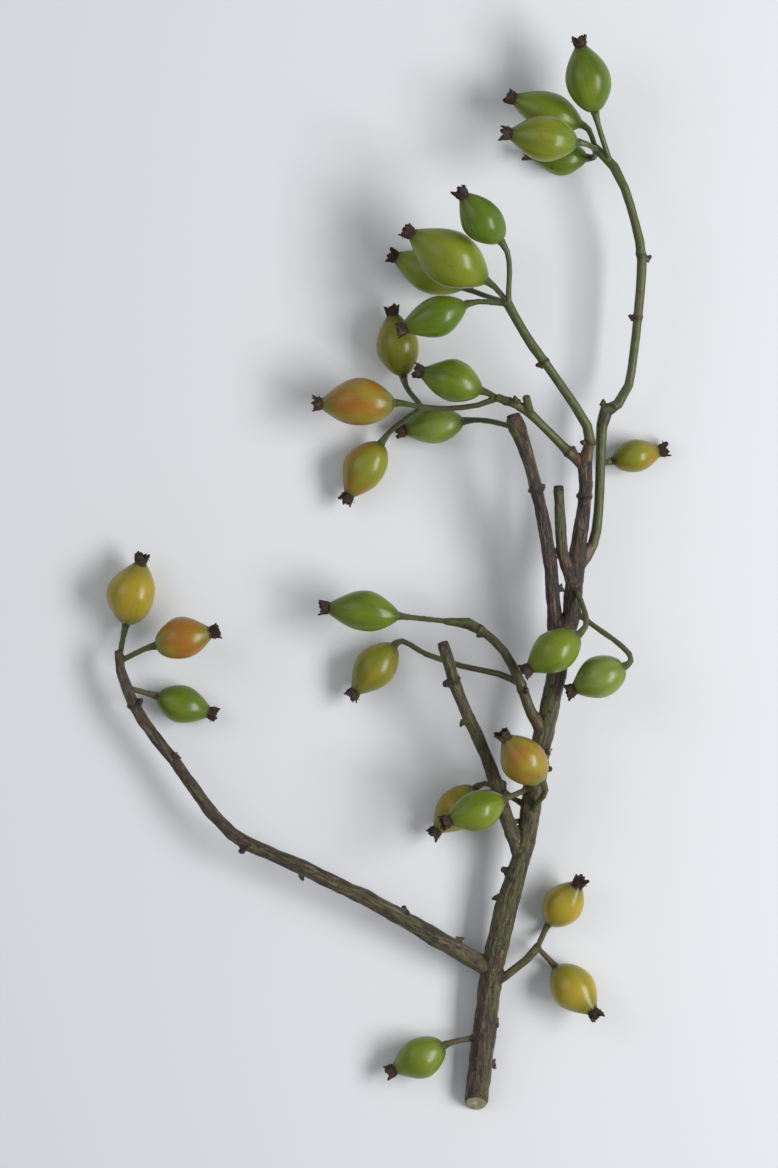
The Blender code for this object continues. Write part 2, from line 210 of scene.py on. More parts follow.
def welded(name):
    """A copy of a solid's mesh with its corners merged."""
    work = bmesh.new()
    work.from_mesh(nodes[name].data)
    bmesh.ops.remove_doubles(work, verts=work.verts, dist=WELD)
    mesh = bpy.data.meshes.new(f"{name}_welded")
    work.to_mesh(mesh)
    work.free()
    return mesh


def rows(items, field, width, kind=float):
    """A field of a mesh's corners or edges as an array, a row each."""
    flat = np.empty(len(items) * width, dtype=kind)
    items.foreach_get(field, flat)
    return flat.reshape(-1, width)


def corners(mesh):
    return rows(mesh.vertices, "co", 3)


def hip_axis(name):
    """(base, neck, radius) of a hip: the middles of its end rings, and its largest radius."""
    points = corners(welded(f"hip_{name}"))
    crown = corners(welded(f"crown_{name}")).mean(axis=0)
    way = crown - points.mean(axis=0)
    for _ in range(3):
        order = np.argsort(points @ way)
        base, neck = points[order[:RING]].mean(axis=0), points[order[-RING:]].mean(axis=0)
        way = (neck - base) / np.linalg.norm(neck - base)
    out = points - base
    out -= np.outer(out @ way, way)
    return base, neck, np.linalg.norm(out, axis=1).max()


axes = {name: hip_axis(name) for name in hip_names}
lengths = [np.linalg.norm(neck - base) / MM for base, neck, _ in axes.values()]
print(f"hips from {min(lengths):.1f} to {max(lengths):.1f} mm long")

# %% [markdown]
# ## The hips
#
# A rose hip is the swollen cup of the flower. Each one is a body of revolution, but never a perfect one: it
# is a little bent, a little oval, and faintly lumpy where the seeds press on the skin. So the body is turned
# from a profile, as on a lathe, and then pushed out of round by slow noise. Hips that lie on the table are
# flat where they touch it.

# %% The profile of a hip
AROUND, UP = 72, 56
BASE_RADIUS, NECK_RADIUS = 1.7 * MM, 2.4 * MM
SINK, STALK_END = 0.9 * MM, 1.62 * MM  # how far a hip reaches over its stalk, and with what radius
SLIM_FROM, SLIM_OVER = 1.28, 0.30  # a hip grows slim from this length over width, and is so this much later
ROUND_POWER, SLIM_POWER, NECK_POWER = 0.58, 0.90, 0.98  # the smaller, the fuller the shoulder


def profile(t, radius, length):
    """The radius of a hip at a share t of its length. A round hip has full shoulders, a slim one narrows to
    its stalk too, and all of them are drawn in to the neck of the crown."""
    end = BASE_RADIUS + (NECK_RADIUS - BASE_RADIUS) * t
    slim = np.clip((length / (2 * radius) - SLIM_FROM) / SLIM_OVER, 0, 1)
    shoulder = ROUND_POWER + (SLIM_POWER - ROUND_POWER) * slim
    return end + (radius - end) * np.sin(np.pi * t**0.95).clip(0) ** (shoulder + (NECK_POWER - shoulder) * t)


def waves(vectors, draw, count=5, pitch=1.6):
    """A slow random field over unit vectors, made of a few sine waves, about -1 to 1."""
    total = np.zeros(len(vectors))
    for _ in range(count):
        total += np.sin(vectors @ draw.normal(0, pitch, 3) + draw.uniform(0, 6.28))
    return total / math.sqrt(count)


print("a quarter up, a round hip has", profile(0.25, 10 * MM, 20 * MM).round(4), "m of radius")
print("and a slim one has", profile(0.25, 10 * MM, 32 * MM).round(4))

# %% Turn one hip
LUMPS, FINE_LUMPS, OVAL = 0.018, 0.006, 0.025  # as shares of a hip's radius
BEND = 0.035  # as a share of its length


def side_ways(way):
    """Two directions square to a way and to each other."""
    helper = np.array([0, 0, 1.0]) if abs(way[2]) < 0.9 else np.array([1.0, 0, 0])
    first = np.cross(way, helper)
    first /= np.linalg.norm(first)
    return first, np.cross(way, first)


def ring_faces(rings, around):
    """The faces of a closed skin whose corners are listed ring by ring: quads, then a face on each end."""
    faces = []
    for low in range(rings - 1):
        for k in range(around):
            n = (k + 1) % around
            a, b = low * around, (low + 1) * around
            faces.append((a + k, a + n, b + n, b + k))
    return [*faces, tuple(reversed(range(around))), tuple(range((rings - 1) * around, rings * around))]


def make_hip(name, draw):
    """(corners, skin) of a hip, ring by ring. The skin is each corner's place on it: a way out, and up."""
    base, neck, radius = axes[name]
    length = np.linalg.norm(neck - base)
    way = (neck - base) / length
    u, v = side_ways(way)
    t = (1 - np.cos(np.linspace(0, np.pi, UP))) / 2
    turn = np.linspace(0, 2 * np.pi, AROUND, endpoint=False)
    tt, aa = np.meshgrid(t, turn, indexing="ij")
    radial = np.cos(aa)[..., None] * u + np.sin(aa)[..., None] * v
    size = profile(tt, radius, length)
    ball = (radial * np.sin(np.pi * tt)[..., None] - way * np.cos(np.pi * tt)[..., None]).reshape(-1, 3)
    body = np.sin(np.pi * tt)
    uneven = (waves(ball, draw) * LUMPS + waves(ball, draw, 7, 4.0) * FINE_LUMPS).reshape(tt.shape)
    uneven += OVAL * np.cos(2 * (aa - draw.uniform(0, np.pi)))
    size = size * (1 + uneven * body)
    bend = (u * draw.uniform(-1, 1) + v * draw.uniform(-1, 1)) * BEND * length
    points = base + way * (tt * length)[..., None] + radial * size[..., None] + bend * (body**2)[..., None]
    start = base - way * SINK + radial[0] * STALK_END
    tips = [start[None], points, (neck + way * 0.5 * MM + radial[0] * NECK_RADIUS * 0.9)[None]]
    points = np.concatenate(tips).reshape(-1, 3)
    points[:, 2] = np.maximum(points[:, 2], 0)
    skin = np.stack([np.cos(aa), np.sin(aa), tt], axis=-1)
    skin = np.concatenate([skin[:1], skin, skin[-1:]]).reshape(-1, 3)
    return points, skin


print("hips are turned with", AROUND * (UP + 2), "corners each")

# %% [markdown]
# ### Their skin
#
# The skin is thin, waxy and shiny. Its colour is a story of ripening: chlorophyll fades first on the sunny
# side, so green turns through yellow to orange in soft patches that are drawn out along the hip. The pattern
# reads the attribute skin, the place on the hip, so it follows each hip whichever way it points. No two hips
# of a cluster ripen on the same day, so some carry a small number, ripeness, that moves them on or back.

# %% The colours of the hips
GREEN, DEEP_GREEN = (0.094, 0.156, 0.008), (0.045, 0.088, 0.006)
LIME, PALE = (0.160, 0.206, 0.012), (0.205, 0.255, 0.048)
OLIVE, GOLD, AMBER = (0.178, 0.192, 0.013), (0.390, 0.275, 0.022), (0.335, 0.132, 0.012)
BROWN, STALK_GREEN = (0.045, 0.022, 0.010), (0.078, 0.092, 0.020)

# A tone's main colour, the colour it turns to, and the share of the skin that has turned.
TONES = {
    "hip_green": (GREEN, LIME, 0.30),
    "hip_lime": (LIME, (0.220, 0.250, 0.018), 0.45),
    "hip_pale": (PALE, LIME, 0.35),
    "hip_olive": (OLIVE, (0.330, 0.220, 0.018), 0.40),
    "hip_striped": ((0.230, 0.230, 0.020), AMBER, 0.42),
    "hip_gold": ((0.320, 0.280, 0.024), GOLD, 0.60),
    "hip_orange": ((0.300, 0.250, 0.026), AMBER, 0.62),
}
# How far single hips are ahead of the others of their tone, or behind them.
RIPENESS = {
    "a1": 0.05, "a3": 0.14, "b1": -0.10, "c1": 0.06, "c4": -0.03, "c5": -0.06,
    "d1": 0.14, "e1": 0.08, "g2": 0.20, "i1": 0.10, "l1": 0.04,
}
print(len(TONES), "tones, and", len(RIPENESS), "hips out of step with theirs")


# %% Hip skin
def hip_skin(name, main, turned, share):
    """The waxy skin of a hip: it turns from its main colour to another, greener at both ends."""
    made, tree, shader, place = new_material(
        name, 0.32, Specular_IOR_Level=0.32, Coat_Weight=0.12, Coat_Roughness=0.14, Subsurface_Weight=0.10,
        Subsurface_Scale=3 * MM,
    )
    shader.inputs["Subsurface Radius"].default_value = (0.8, 1.0, 0.2)
    skin, own = attribute(tree, "skin", "Vector"), attribute(tree, "own")
    up = put(tree, "ShaderNodeSeparateXYZ", {0: skin}).outputs["Z"]
    patches = noise(tree, stretched(tree, skin, (0.9, 0.9, 1.6)), 1.0, 2, own)
    streaks = noise(tree, stretched(tree, skin, (4.0, 4.0, 1.0)), 1.2, 4, own, 0.6)
    ripe = plus(tree, times(tree, patches, 0.84), times(tree, streaks, 0.16))
    ripe = plus(tree, ripe, attribute(tree, "ripeness"))
    edge = 0.62 - 0.24 * share
    colour = blend(tree, ramp(tree, ripe, edge - 0.12, edge + 0.12), main, turned)
    shade = noise(tree, stretched(tree, skin, (1.8, 1.8, 1.4)), 1.0, 2, plus(tree, own, 7.0))
    colour = coat(tree, colour, tuple(c * 0.60 for c in main), shade, 0.46, 0.70, 0, 0.42)
    veins = noise(tree, stretched(tree, skin, (9.0, 9.0, 0.7)), 1.2, 3, own, 0.6)
    colour = coat(tree, colour, (0.330, 0.350, 0.090), veins, 0.54, 0.68, 0, 0.13)
    ends = maths(tree, "ABSOLUTE", less(tree, up, 0.5))
    if share > 0.5:
        colour = coat(tree, colour, (0.150, 0.165, 0.028), ends, 0.22, 0.48, 0, 0.75)
    else:
        colour = coat(tree, colour, DEEP_GREEN, ends, 0.36, 0.50, 0, 0.55)
    colour = coat(tree, colour, STALK_GREEN, up, 0.0, 0.035, 0.95, 0.0)
    dotty = noise(tree, place, 160.0, 2)
    pale = times(tree, flecks(tree, place, 620.0, 0.16, 0.08), ramp(tree, dotty, 0.45, 0.60))
    colour = blend(tree, times(tree, pale, 0.30), colour, (0.42, 0.44, 0.20))
    scuffs = noise(tree, place, 260.0, 6, None, 0.68)
    colour = coat(tree, colour, (0.10, 0.055, 0.02), scuffs, 0.645, 0.70, 0, 0.75)
    wither = plus(tree, up, times(tree, streaks, 0.06))
    colour = coat(tree, colour, BROWN, wither, 1.0, 1.025, 0, 0.9)
    gloss = ramp(tree, noise(tree, place, 300.0, 3), 0.3, 0.7, 0.26, 0.37)
    fine = plus(tree, noise(tree, place, 1500.0, 2), times(tree, pale, 0.8))
    link_up(tree, shader, colour, fine, 0.10, 0.2 * MM, gloss)
    return made


skins = {name: hip_skin(name, *tone) for name, tone in TONES.items()}
print(len(skins), "hip skins")

# %% Make every hip
slots = {part["node"]: part["material_slot"] for part in frame["record"]["subparts"]}


def mark(mesh, **attributes):
    """Gives a mesh its named attributes: a number or a vector for each corner."""
    for key, values in attributes.items():
        values = np.asarray(values, dtype=float)
        kind, field = ("FLOAT", "value") if values.ndim == 1 else ("FLOAT_VECTOR", "vector")
        mesh.attributes.new(key, kind, "POINT").data.foreach_set(field, values.ravel())


def add_object(name, data):
    """A new object in the scene."""
    made = bpy.data.objects.new(name, data)
    bpy.context.scene.collection.objects.link(made)
    return made


def mesh_object(name, points, faces, material, **attributes):
    """A smooth object from arrays of corners and faces, with its named attributes."""
    mesh = bpy.data.meshes.new(name)
    mesh.from_pydata(points.tolist(), [], faces)
    mark(mesh, **attributes)
    mesh.materials.append(material)
    mesh.shade_smooth()
    return add_object(name, mesh)


def dress(piece, *solids):
    """Puts a finished piece in place of its solids, on the sprig's one body."""
    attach(piece, "root")
    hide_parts(*solids)


hip_faces = ring_faces(UP + 2, AROUND)
for number, name in enumerate(hip_names):
    draw = np.random.default_rng(100 + number)
    points, skin = make_hip(name, draw)
    own, ripeness = np.full(len(points), draw.uniform(0, 20)), np.full(len(points), RIPENESS.get(name, 0.0))
    finish = skins[slots[f"hip_{name}"]]
    piece = mesh_object(f"skin_{name}", points, hip_faces, finish, skin=skin, own=own, ripeness=ripeness)
    dress(piece, f"hip_{name}")
print(len(hip_names), "hips dressed")

# %% [markdown]
# ## The crowns
#
# What sits on the end of a hip is the dried flower: a short brown cup, the stumps of five sepals on its rim,
# all broken off at different heights, and a tuft of withered stamens inside. The cup is turned like the
# hips, with its rim torn by random steps. The stamens repeat, so Geometry Nodes scatters them on the floor
# of the cup and turns each one a little.

# %% A dry brown finish
def dry_brown():
    """Withered calyx: dark brown, worn to a greyish tan in places."""
    made, tree, shader, place = new_material("dry_calyx", 0.85)
    grain = noise(tree, place, 700.0, 4, None, 0.65)
    tone = blend(tree, ramp(tree, grain, 0.35, 0.68), (0.012, 0.006, 0.003), (0.066, 0.032, 0.015))
    tone = coat(tree, tone, (0.150, 0.095, 0.055), noise(tree, place, 250.0, 3), 0.56, 0.72, 0, 0.5)
    link_up(tree, shader, tone, grain, 0.7, 0.3 * MM)
    return made


calyx_brown = dry_brown()
print(calyx_brown.name, "made")

# %% The ragged cup
CUP_AROUND, LOBES = 60, 5
SEAT_RINGS = 3  # the innermost rings of a cup, where the stamens stand


def cup_rings(draw):
    """The rings of a cup with a torn rim, built up along +Z in millimetres."""
    turn = np.linspace(0, 2 * np.pi, CUP_AROUND, endpoint=False)
    swing = draw.uniform(0, 2 * np.pi)
    lobe = np.cos((turn - swing) * LOBES / 2) ** 2
    which = np.floor((turn - swing) / (2 * np.pi) * LOBES + 0.5).astype(int) % LOBES
    height = draw.uniform(0.15, 1.0, LOBES)[which]
    torn = np.repeat(draw.uniform(-0.30, 0.30, CUP_AROUND // 2), 2)
    rim = 2.6 + 1.7 * height * lobe**0.8 + torn * (0.5 + lobe)
    flare = draw.uniform(0.0, 0.8, LOBES)[which] * lobe
    out = 1 + 0.06 * np.cos((turn - swing) * LOBES) + draw.uniform(-0.04, 0.04, CUP_AROUND)
    steps = [
        (1.9 * out, -0.5), (2.2 * out, 0.1), (2.5 * out, 0.9), (2.55 * out, 1.8),
        (2.6 * out + 0.35 * flare, 1.9 + (rim - 1.9) * 0.5), (2.62 * out + flare, rim),
        (2.25 * out + flare, rim - 0.05), (2.15 * out + 0.3 * flare, 1.8 + (rim - 1.8) * 0.5),
        (1.8 * out, 1.75), (1.1 * out, 1.85), (0.35 * out, 2.05),
    ]
    across, along = np.cos(turn), np.sin(turn)
    return np.array([np.stack([across * r, along * r, z + 0 * r], axis=1) for r, z in steps])


# %% The sepals that still stand
BROKEN_OFF = 0.45  # the share of sepals that are gone
STRIP_EDGES = (-1, -1), (1, -1), (1, 1), (-1, 1)


def sepal(draw, k):
    """The rings of one sepal: a thin, pointed, twisted strip on the rim of the cup."""
    turn = 2 * np.pi * (k + draw.uniform(-0.2, 0.2)) / LOBES
    reach, curl, width = draw.uniform(1.1, 2.2), draw.uniform(-0.3, 0.8), draw.uniform(0.8, 1.25)
    out, across, up = np.array([
        (np.cos(turn), np.sin(turn), 0), (-np.sin(turn), np.cos(turn), 0), (0, 0, 1)])
    rings = []
    for t in np.linspace(0, 1, 6):
        middle = out * (2.2 + reach * np.sin(curl * t) * t) + up * (2.1 + reach * np.cos(curl * t) * t)
        half, thick = width * (1 - t) ** 0.7 + 0.06, 0.16 * (1 - 0.6 * t)
        twist = across * np.cos(0.8 * t) + out * np.sin(0.8 * t)
        flat = np.cross(twist, up)
        rings.append([middle + twist * half * side + flat * thick * depth for side, depth in STRIP_EDGES])
    return np.array(rings)


def stacked(bodies):
    """(corners, faces) of closed bodies together, each an array of rings."""
    points, faces, start = [], [], 0
    for rings in bodies:
        faces += [tuple(start + corner for corner in face) for face in ring_faces(*rings.shape[:2])]
        points.append(rings.reshape(-1, 3))
        start += len(points[-1])
    return np.concatenate(points), faces


print("a cup has", len(cup_rings(np.random.default_rng(0))), "rings of", CUP_AROUND, "corners")


# %% Begin, end and run a Geometry Nodes tree
def new_tree(name, sockets):
    """A tree that takes a Geometry, named sockets and a Finish. Returns it with what it is given."""
    tree = bpy.data.node_groups.new(name, "GeometryNodeTree")
    tree.interface.new_socket("Geometry", in_out="OUTPUT", socket_type="NodeSocketGeometry")
    for label, kind, value in (("Geometry", "Geometry", None), *sockets, ("Finish", "Material", None)):
        made = tree.interface.new_socket(label, in_out="INPUT", socket_type=f"NodeSocket{kind}")
        if value is not None:
            made.default_value = value
    return tree, put(tree, "NodeGroupInput").outputs


def end_tree(tree, geometry, given):
    """Makes what a tree has set up real, and gives it its finish."""
    real = put(tree, "GeometryNodeRealizeInstances", {0: geometry})
    done = put(tree, "GeometryNodeSetMaterial", {"Geometry": real.outputs[0], "Material": given["Finish"]})
    put(tree, "NodeGroupOutput", {0: done.outputs[0]})
    return tree


def named(tree, name, kind="FLOAT"):
    """The socket of an attribute of the mesh that the tree is given."""
    return put(tree, "GeometryNodeInputNamedAttribute", {"Name": name}, data_type=kind).outputs[0]


def grow(piece, tree, **inputs):
    """Runs a Geometry Nodes tree on a piece with its named inputs, and keeps the result as its plain mesh."""
    modifier = piece.modifiers.new("grow", "NODES")
    modifier.node_group = tree
    for item in tree.interface.items_tree:
        key = item.name.replace(" ", "_").lower()
        if item.in_out == "INPUT" and key in inputs:
            modifier[item.identifier] = inputs[key]
    mesh = baked(piece)
    piece.modifiers.remove(modifier)
    piece.data = mesh


def baked(piece):
    """A plain mesh of a piece as its modifiers leave it."""
    graph = bpy.context.evaluated_depsgraph_get()
    return bpy.data.meshes.new_from_object(piece.evaluated_get(graph), depsgraph=graph)


print("trees of nodes can be begun, ended and run")


# %% Stamens by Geometry Nodes
def stamen_tree():
    """Scatters bent hairs on the faces marked seat, and joins them to the cup."""
    tree, given = new_tree("dry stamens", (
        ("Per square metre", "Float", 5.5e6), ("Length", "Float", 1.4 * MM), ("Radius", "Float", 0.10 * MM),
        ("Seed", "Int", 1)))
    spread = put(tree, "GeometryNodeDistributePointsOnFaces", {
        "Mesh": given["Geometry"], "Selection": named(tree, "seat"), "Density": given["Per square metre"],
        "Seed": given["Seed"]}).outputs
    tip = put(tree, "ShaderNodeCombineXYZ", {0: 0.2 * MM, 2: given["Length"]}).outputs[0]
    hair = put(tree, "GeometryNodeCurvePrimitiveBezierSegment", {
        "Resolution": 4, "Start": (0, 0, 0), "Start Handle": (0, 0, 0.4 * MM),
        "End Handle": (0.1 * MM, 0, 0.9 * MM), "End": tip}).outputs[0]
    ring = put(tree, "GeometryNodeCurvePrimitiveCircle", {"Resolution": 4, "Radius": given["Radius"]})
    wire = put(tree, "GeometryNodeCurveToMesh", {
        "Curve": hair, "Profile Curve": ring.outputs[0], "Fill Caps": True}).outputs[0]
    lean = put(tree, "FunctionNodeRandomValue", {
        0: (-0.4, -0.4, 0), 1: (0.4, 0.4, 6.28), "Seed": given["Seed"]}, data_type="FLOAT_VECTOR").outputs[0]
    size = put(tree, "FunctionNodeRandomValue", {2: 0.6, 3: 1.25, "Seed": given["Seed"]}).outputs[1]
    stand = put(tree, "FunctionNodeRotateRotation", {0: spread["Rotation"], 1: lean}).outputs[0]
    tuft = put(tree, "GeometryNodeInstanceOnPoints", {
        "Points": spread["Points"], "Instance": wire, "Rotation": stand, "Scale": size}).outputs[0]
    joined = put(tree, "GeometryNodeJoinGeometry")
    for part in (tuft, given["Geometry"]):
        tree.links.new(part, joined.inputs[0])
    return end_tree(tree, joined.outputs[0], given)


stamens = stamen_tree()
print("stamens tree:", len(stamens.nodes), "nodes")

# %% Make every crown
CROWN_LIFT, CLEAR = 0.3 * MM, 0.05 * MM  # how far up the neck a cup sits, and its least height over the table
face_count = 0
for number, name in enumerate(hip_names):
    draw = np.random.default_rng(500 + number)
    base, neck, _ = axes[name]
    way = (neck - base) / np.linalg.norm(neck - base)
    cup = cup_rings(draw)
    standing = [sepal(draw, k) for k in range(LOBES) if draw.uniform() >= BROKEN_OFF]
    local, faces = stacked([cup, *standing])
    points = neck + way * CROWN_LIFT + local * MM @ np.stack([*side_ways(way), way])
    points[:, 2] = np.maximum(points[:, 2], CLEAR)
    inner, outer = (len(cup) - SEAT_RINGS) * CUP_AROUND, len(cup) * CUP_AROUND
    seat = (np.arange(len(points)) >= inner) & (np.arange(len(points)) < outer)
    piece = mesh_object(f"calyx_{name}", points, faces, calyx_brown, seat=seat)
    grow(piece, stamens, seed=number, finish=calyx_brown)
    dress(piece, f"crown_{name}")
    face_count += len(piece.data.polygons)
print(len(hip_names), "crowns with", face_count, "faces")

# %% [markdown]
# ## The stems
#
# The woody stem and the shoots are tubes that run into each other. On a living stem nothing is that sharp:
# bark swells round every fork. A voxel remesh wraps each stem in one even skin, and a few rounds of
# smoothing melt the facets and the forks. The smoothing goes one step in and one step out, so that the thin
# stalks keep their thickness.
#
# Bark runs along the stem, so its pattern needs to know which way that is. Four things are measured on the
# skin: along, the distance walked from the root of the stem, grain, the direction that the skin faces with
# the small bumps smoothed away, thick, the radius of the stem just there, which is half of the way straight
# through it, and proud, how far a nub or a knob stands out from the skin round it.

# %% Wrap a stem in an even skin
def wrapped(mesh, voxel):
    """The mesh after a voxel remesh."""
    piece = add_object("wrap", mesh)
    remesh = piece.modifiers.new("skin", "REMESH")
    remesh.mode, remesh.voxel_size = "VOXEL", voxel
    even = baked(piece)
    bpy.data.objects.remove(piece)
    return even


def edge_array(mesh):
    return rows(mesh.edges, "vertices", 2, np.int64)


def facing(mesh):
    return rows(mesh.vertex_normals, "vector", 3)


def unit(vectors):
    return vectors / np.linalg.norm(vectors, axis=1, keepdims=True).clip(1e-12)


def averaged(values, edges, rounds):
    """Each corner's value replaced by the mean of its neighbours', again and again."""
    a, b = edges[:, 0], edges[:, 1]
    count = len(values)
    degree = np.bincount(a, minlength=count) + np.bincount(b, minlength=count)
    for _ in range(rounds):
        columns = values.reshape(count, -1).T
        total = [np.bincount(a, column[b], count) + np.bincount(b, column[a], count) for column in columns]
        values = (np.stack(total, axis=1) / degree[:, None]).reshape(values.shape)
    return values


def eased(points, edges, rounds, inward=0.52, outward=-0.55):
    """Smooths corners without shrinking them: each round steps in, then a little further out."""
    for _ in range(rounds):
        for step in (inward, outward):
            points = points + step * (averaged(points, edges, 1) - points)
    return points


print("stems can be wrapped and eased")


# %% Walk along a stem
def walked(points, edges, start):
    """Each corner's distance along the skin from the start corner."""
    near = [[] for _ in range(len(points))]
    lengths = np.linalg.norm(points[edges[:, 0]] - points[edges[:, 1]], axis=1)
    for (a, b), length in zip(edges.tolist(), lengths):
        near[a].append((b, length))
        near[b].append((a, length))
    far = [math.inf] * len(points)
    far[start] = 0.0
    queue = [(0.0, start)]
    while queue:
        so_far, at = heapq.heappop(queue)
        if so_far <= far[at]:
            for other, length in near[at]:
                if so_far + length < far[other]:
                    far[other] = so_far + length
                    heapq.heappush(queue, (far[other], other))
    return np.array(far)


def one_skin(mesh):
    """Keeps the largest skin, and drops the loose crumbs that a wrap can leave beside it."""
    points, edges = corners(mesh), edge_array(mesh)
    tried = np.zeros(len(points), dtype=bool)
    reached = tried
    while reached.sum() * 2 < len(points):
        reached = np.isfinite(walked(points, edges, int(np.flatnonzero(~tried)[0])))
        tried = tried | reached
    lost = set(np.flatnonzero(~reached).tolist())
    work = bmesh.new()
    work.from_mesh(mesh)
    bmesh.ops.delete(work, geom=[v for v in work.verts if v.index in lost], context="VERTS")
    work.to_mesh(mesh)
    work.free()


print("a stem can be walked from its root")

# %% Measure along, grain, thick and proud
INSET, WIDEST = 0.6 * MM, 5.5 * MM  # where a ray starts under the skin, and the largest radius it looks for
EASE = 16 * MM  # rounds of easing, times the voxel
SMOOTH_ALONG, SMOOTH_GRAIN = 12, 2.5 * MM  # rounds, and rounds times the voxel
THICK_REACH, MIDDLE_REACH, PROUD_REACH = 2 * MM, 3.2 * MM, 1.6 * MM  # how far each is averaged over the skin


def half_way_through(points, normals, solid):
    """The radius of the stem at each corner: half of the way to its far side."""
    radius = np.full(len(points), WIDEST)
    for index, (point, normal) in enumerate(zip(points, normals)):
        hit = solid.ray_cast(Vector(point - INSET * normal), Vector(-normal), 2 * WIDEST)
        if hit[0] is not None:
            radius[index] = (hit[3] + INSET) / 2
    return radius


def measured(mesh, root, voxel, solid):
    """Eases a wrapped mesh and returns (points, along, grain, thick, proud)."""
    one_skin(mesh)
    edges = edge_array(mesh)
    points = eased(corners(mesh), edges, round(EASE / voxel))
    mesh.vertices.foreach_set("co", points.ravel())
    mesh.update()

    def over(values, reach):
        return averaged(values, edges, round((reach / voxel) ** 2))

    start = int(np.linalg.norm(points - root, axis=1).argmin())
    along = averaged(walked(points, edges, start), edges, SMOOTH_ALONG)
    grain = unit(averaged(facing(mesh), edges, round(SMOOTH_GRAIN / voxel)))
    thick = over(half_way_through(points, grain, solid), THICK_REACH)
    radius = np.linalg.norm(points - over(points, MIDDLE_REACH), axis=1)
    return points, along, grain, thick, radius - over(radius, PROUD_REACH)


print("a stem's skin can be measured")

# %% [markdown]
# ### Feet
#
# A shoot grows out of the wood, with a small collar of bark round its foot. The solids stop just short of
# each other, so the corners of a shoot that are that close to its neighbour are moved to just inside it, and
# later the skin near the joint is swollen a little, which makes the collar.

# %% Root a shoot in its neighbours
REACH, ROOT_DEPTH = 0.7 * MM, 0.9 * MM
COLLAR_HEIGHT, COLLAR_REACH = 0.45 * MM, 1.6 * MM


def tree_of(mesh):
    return BVHTree.FromPolygons([v.co for v in mesh.vertices], [tuple(f.vertices) for f in mesh.polygons])


def root_in(mesh, others):
    """Moves the corners that almost touch another stem to inside it. Returns their middle."""
    moved = []
    for corner in mesh.vertices:
        for other in others:
            near, normal, _, _ = other.find_nearest(corner.co, REACH)
            if near is not None:
                corner.co = near - normal * ROOT_DEPTH
                moved.append(corner.co.copy())
                break
    return sum(moved, Vector()) / max(len(moved), 1)


def collared(points, normals, others):
    """The corners, pushed outwards the more, the nearer another stem is."""
    swell = np.zeros(len(points))
    for index, point in enumerate(points):
        for other in others:
            near, _, _, distance = other.find_nearest(Vector(point), 4 * COLLAR_REACH)
            if near is not None:
                height = COLLAR_HEIGHT * math.exp(-((distance / COLLAR_REACH) ** 2))
                swell[index] = max(swell[index], height)
    return points + normals * swell[:, None]


print("a shoot can be rooted, and its foot swollen")

# %% [markdown]
# ### Bark relief
#
# Old rose bark is drawn into fine ridges that run up the stem, over slow swellings. Geometry Nodes move the
# skin in and out by a noise that is read by grain and along: it is stretched many times along the stem, and
# it closes round it with no seam. The same tree with smaller numbers gives the young shoots their faint
# ribs. The face of a cut, where the attribute sawn is 1, stays flat.

# %% Move the skin by a stretched noise
THIN, STOUT = 1.2 * MM, 2.9 * MM  # the radii between which the relief grows to its full height


def relief_tree():
    """Moves the skin in and out: ridges along the stem, slow swellings, and a ring round each node."""
    tree, given = new_tree("bark relief", (
        ("Ridge height", "Float", 0.22 * MM), ("Ridge width", "Float", 0.9 * MM),
        ("Ridge length", "Float", 9 * MM), ("Swelling", "Float", 0.25 * MM),
        ("Swelling length", "Float", 7 * MM), ("Node ring", "Float", 0.35 * MM)))
    along, thick, node, is_sawn = (named(tree, name) for name in ("along", "thick", "node", "sawn"))
    around = scaled(tree, named(tree, "grain", "FLOAT_VECTOR"), thick)

    def field(across, length, detail):
        spot = scaled(tree, around, maths(tree, "DIVIDE", 1.0, across))
        return less(tree, noise(tree, spot, 1.0, detail, maths(tree, "DIVIDE", along, length), 0.6), 0.5)

    ridge = maths(tree, "ABSOLUTE", field(given["Ridge width"], given["Ridge length"], 3.0))
    ridge = times(tree, less(tree, 0.16, ridge), given["Ridge height"])
    swell = field(times(tree, given["Swelling length"], 0.6), given["Swelling length"], 1.0)
    swell = times(tree, swell, given["Swelling"])
    push = plus(tree, times(tree, ridge, 4.0), swell)
    push = times(tree, push, ramp(tree, thick, THIN, STOUT, 0.3, 1.0))
    push = times(tree, push, plus(tree, 1.0, node))
    push = plus(tree, push, times(tree, node, given["Node ring"]))
    push = times(tree, push, less(tree, 1.0, is_sawn))
    offset = scaled(tree, put(tree, "GeometryNodeInputNormal").outputs[0], push)
    moved = put(tree, "GeometryNodeSetPosition", {"Geometry": given["Geometry"], "Offset": offset})
    return end_tree(tree, moved.outputs[0], given)


relief = relief_tree()
print("relief tree:", len(relief.nodes), "nodes")

# %% [markdown]
# ### Bark and green shoots, the finishes
#
# The bark of a cut rose is dark brown over green: the brown skin is worn through in long streaks, and small
# pale pores dot it. The stalks that grow straight from the wood are still green, so thick decides between
# the two. A young shoot is olive green, browner at its nodes and at its foot. Two of the shoots were cut back
# once and grew on, which leaves a dark lumpy knob, and the bark of one of them is brown up to its knob.

# %% What both finishes start with
def stem_skin(name, roughness):
    """The start of a stem's material, with a stretched noise that follows the stem, and its measures."""
    made, tree, shader, place = new_material(name, roughness)
    read = {key: attribute(tree, key) for key in ("along", "thick", "proud", "node")}
    around = scaled(tree, attribute(tree, "grain", "Vector"), read["thick"])

    def field(across, length, detail, rough=0.6):
        spot = scaled(tree, around, 1 / (across * MM))
        return noise(tree, spot, 1.0, detail, maths(tree, "DIVIDE", read["along"], length * MM), rough)

    return made, tree, shader, place, field, read


print("a stem's finish reads along, thick, proud, node and grain")

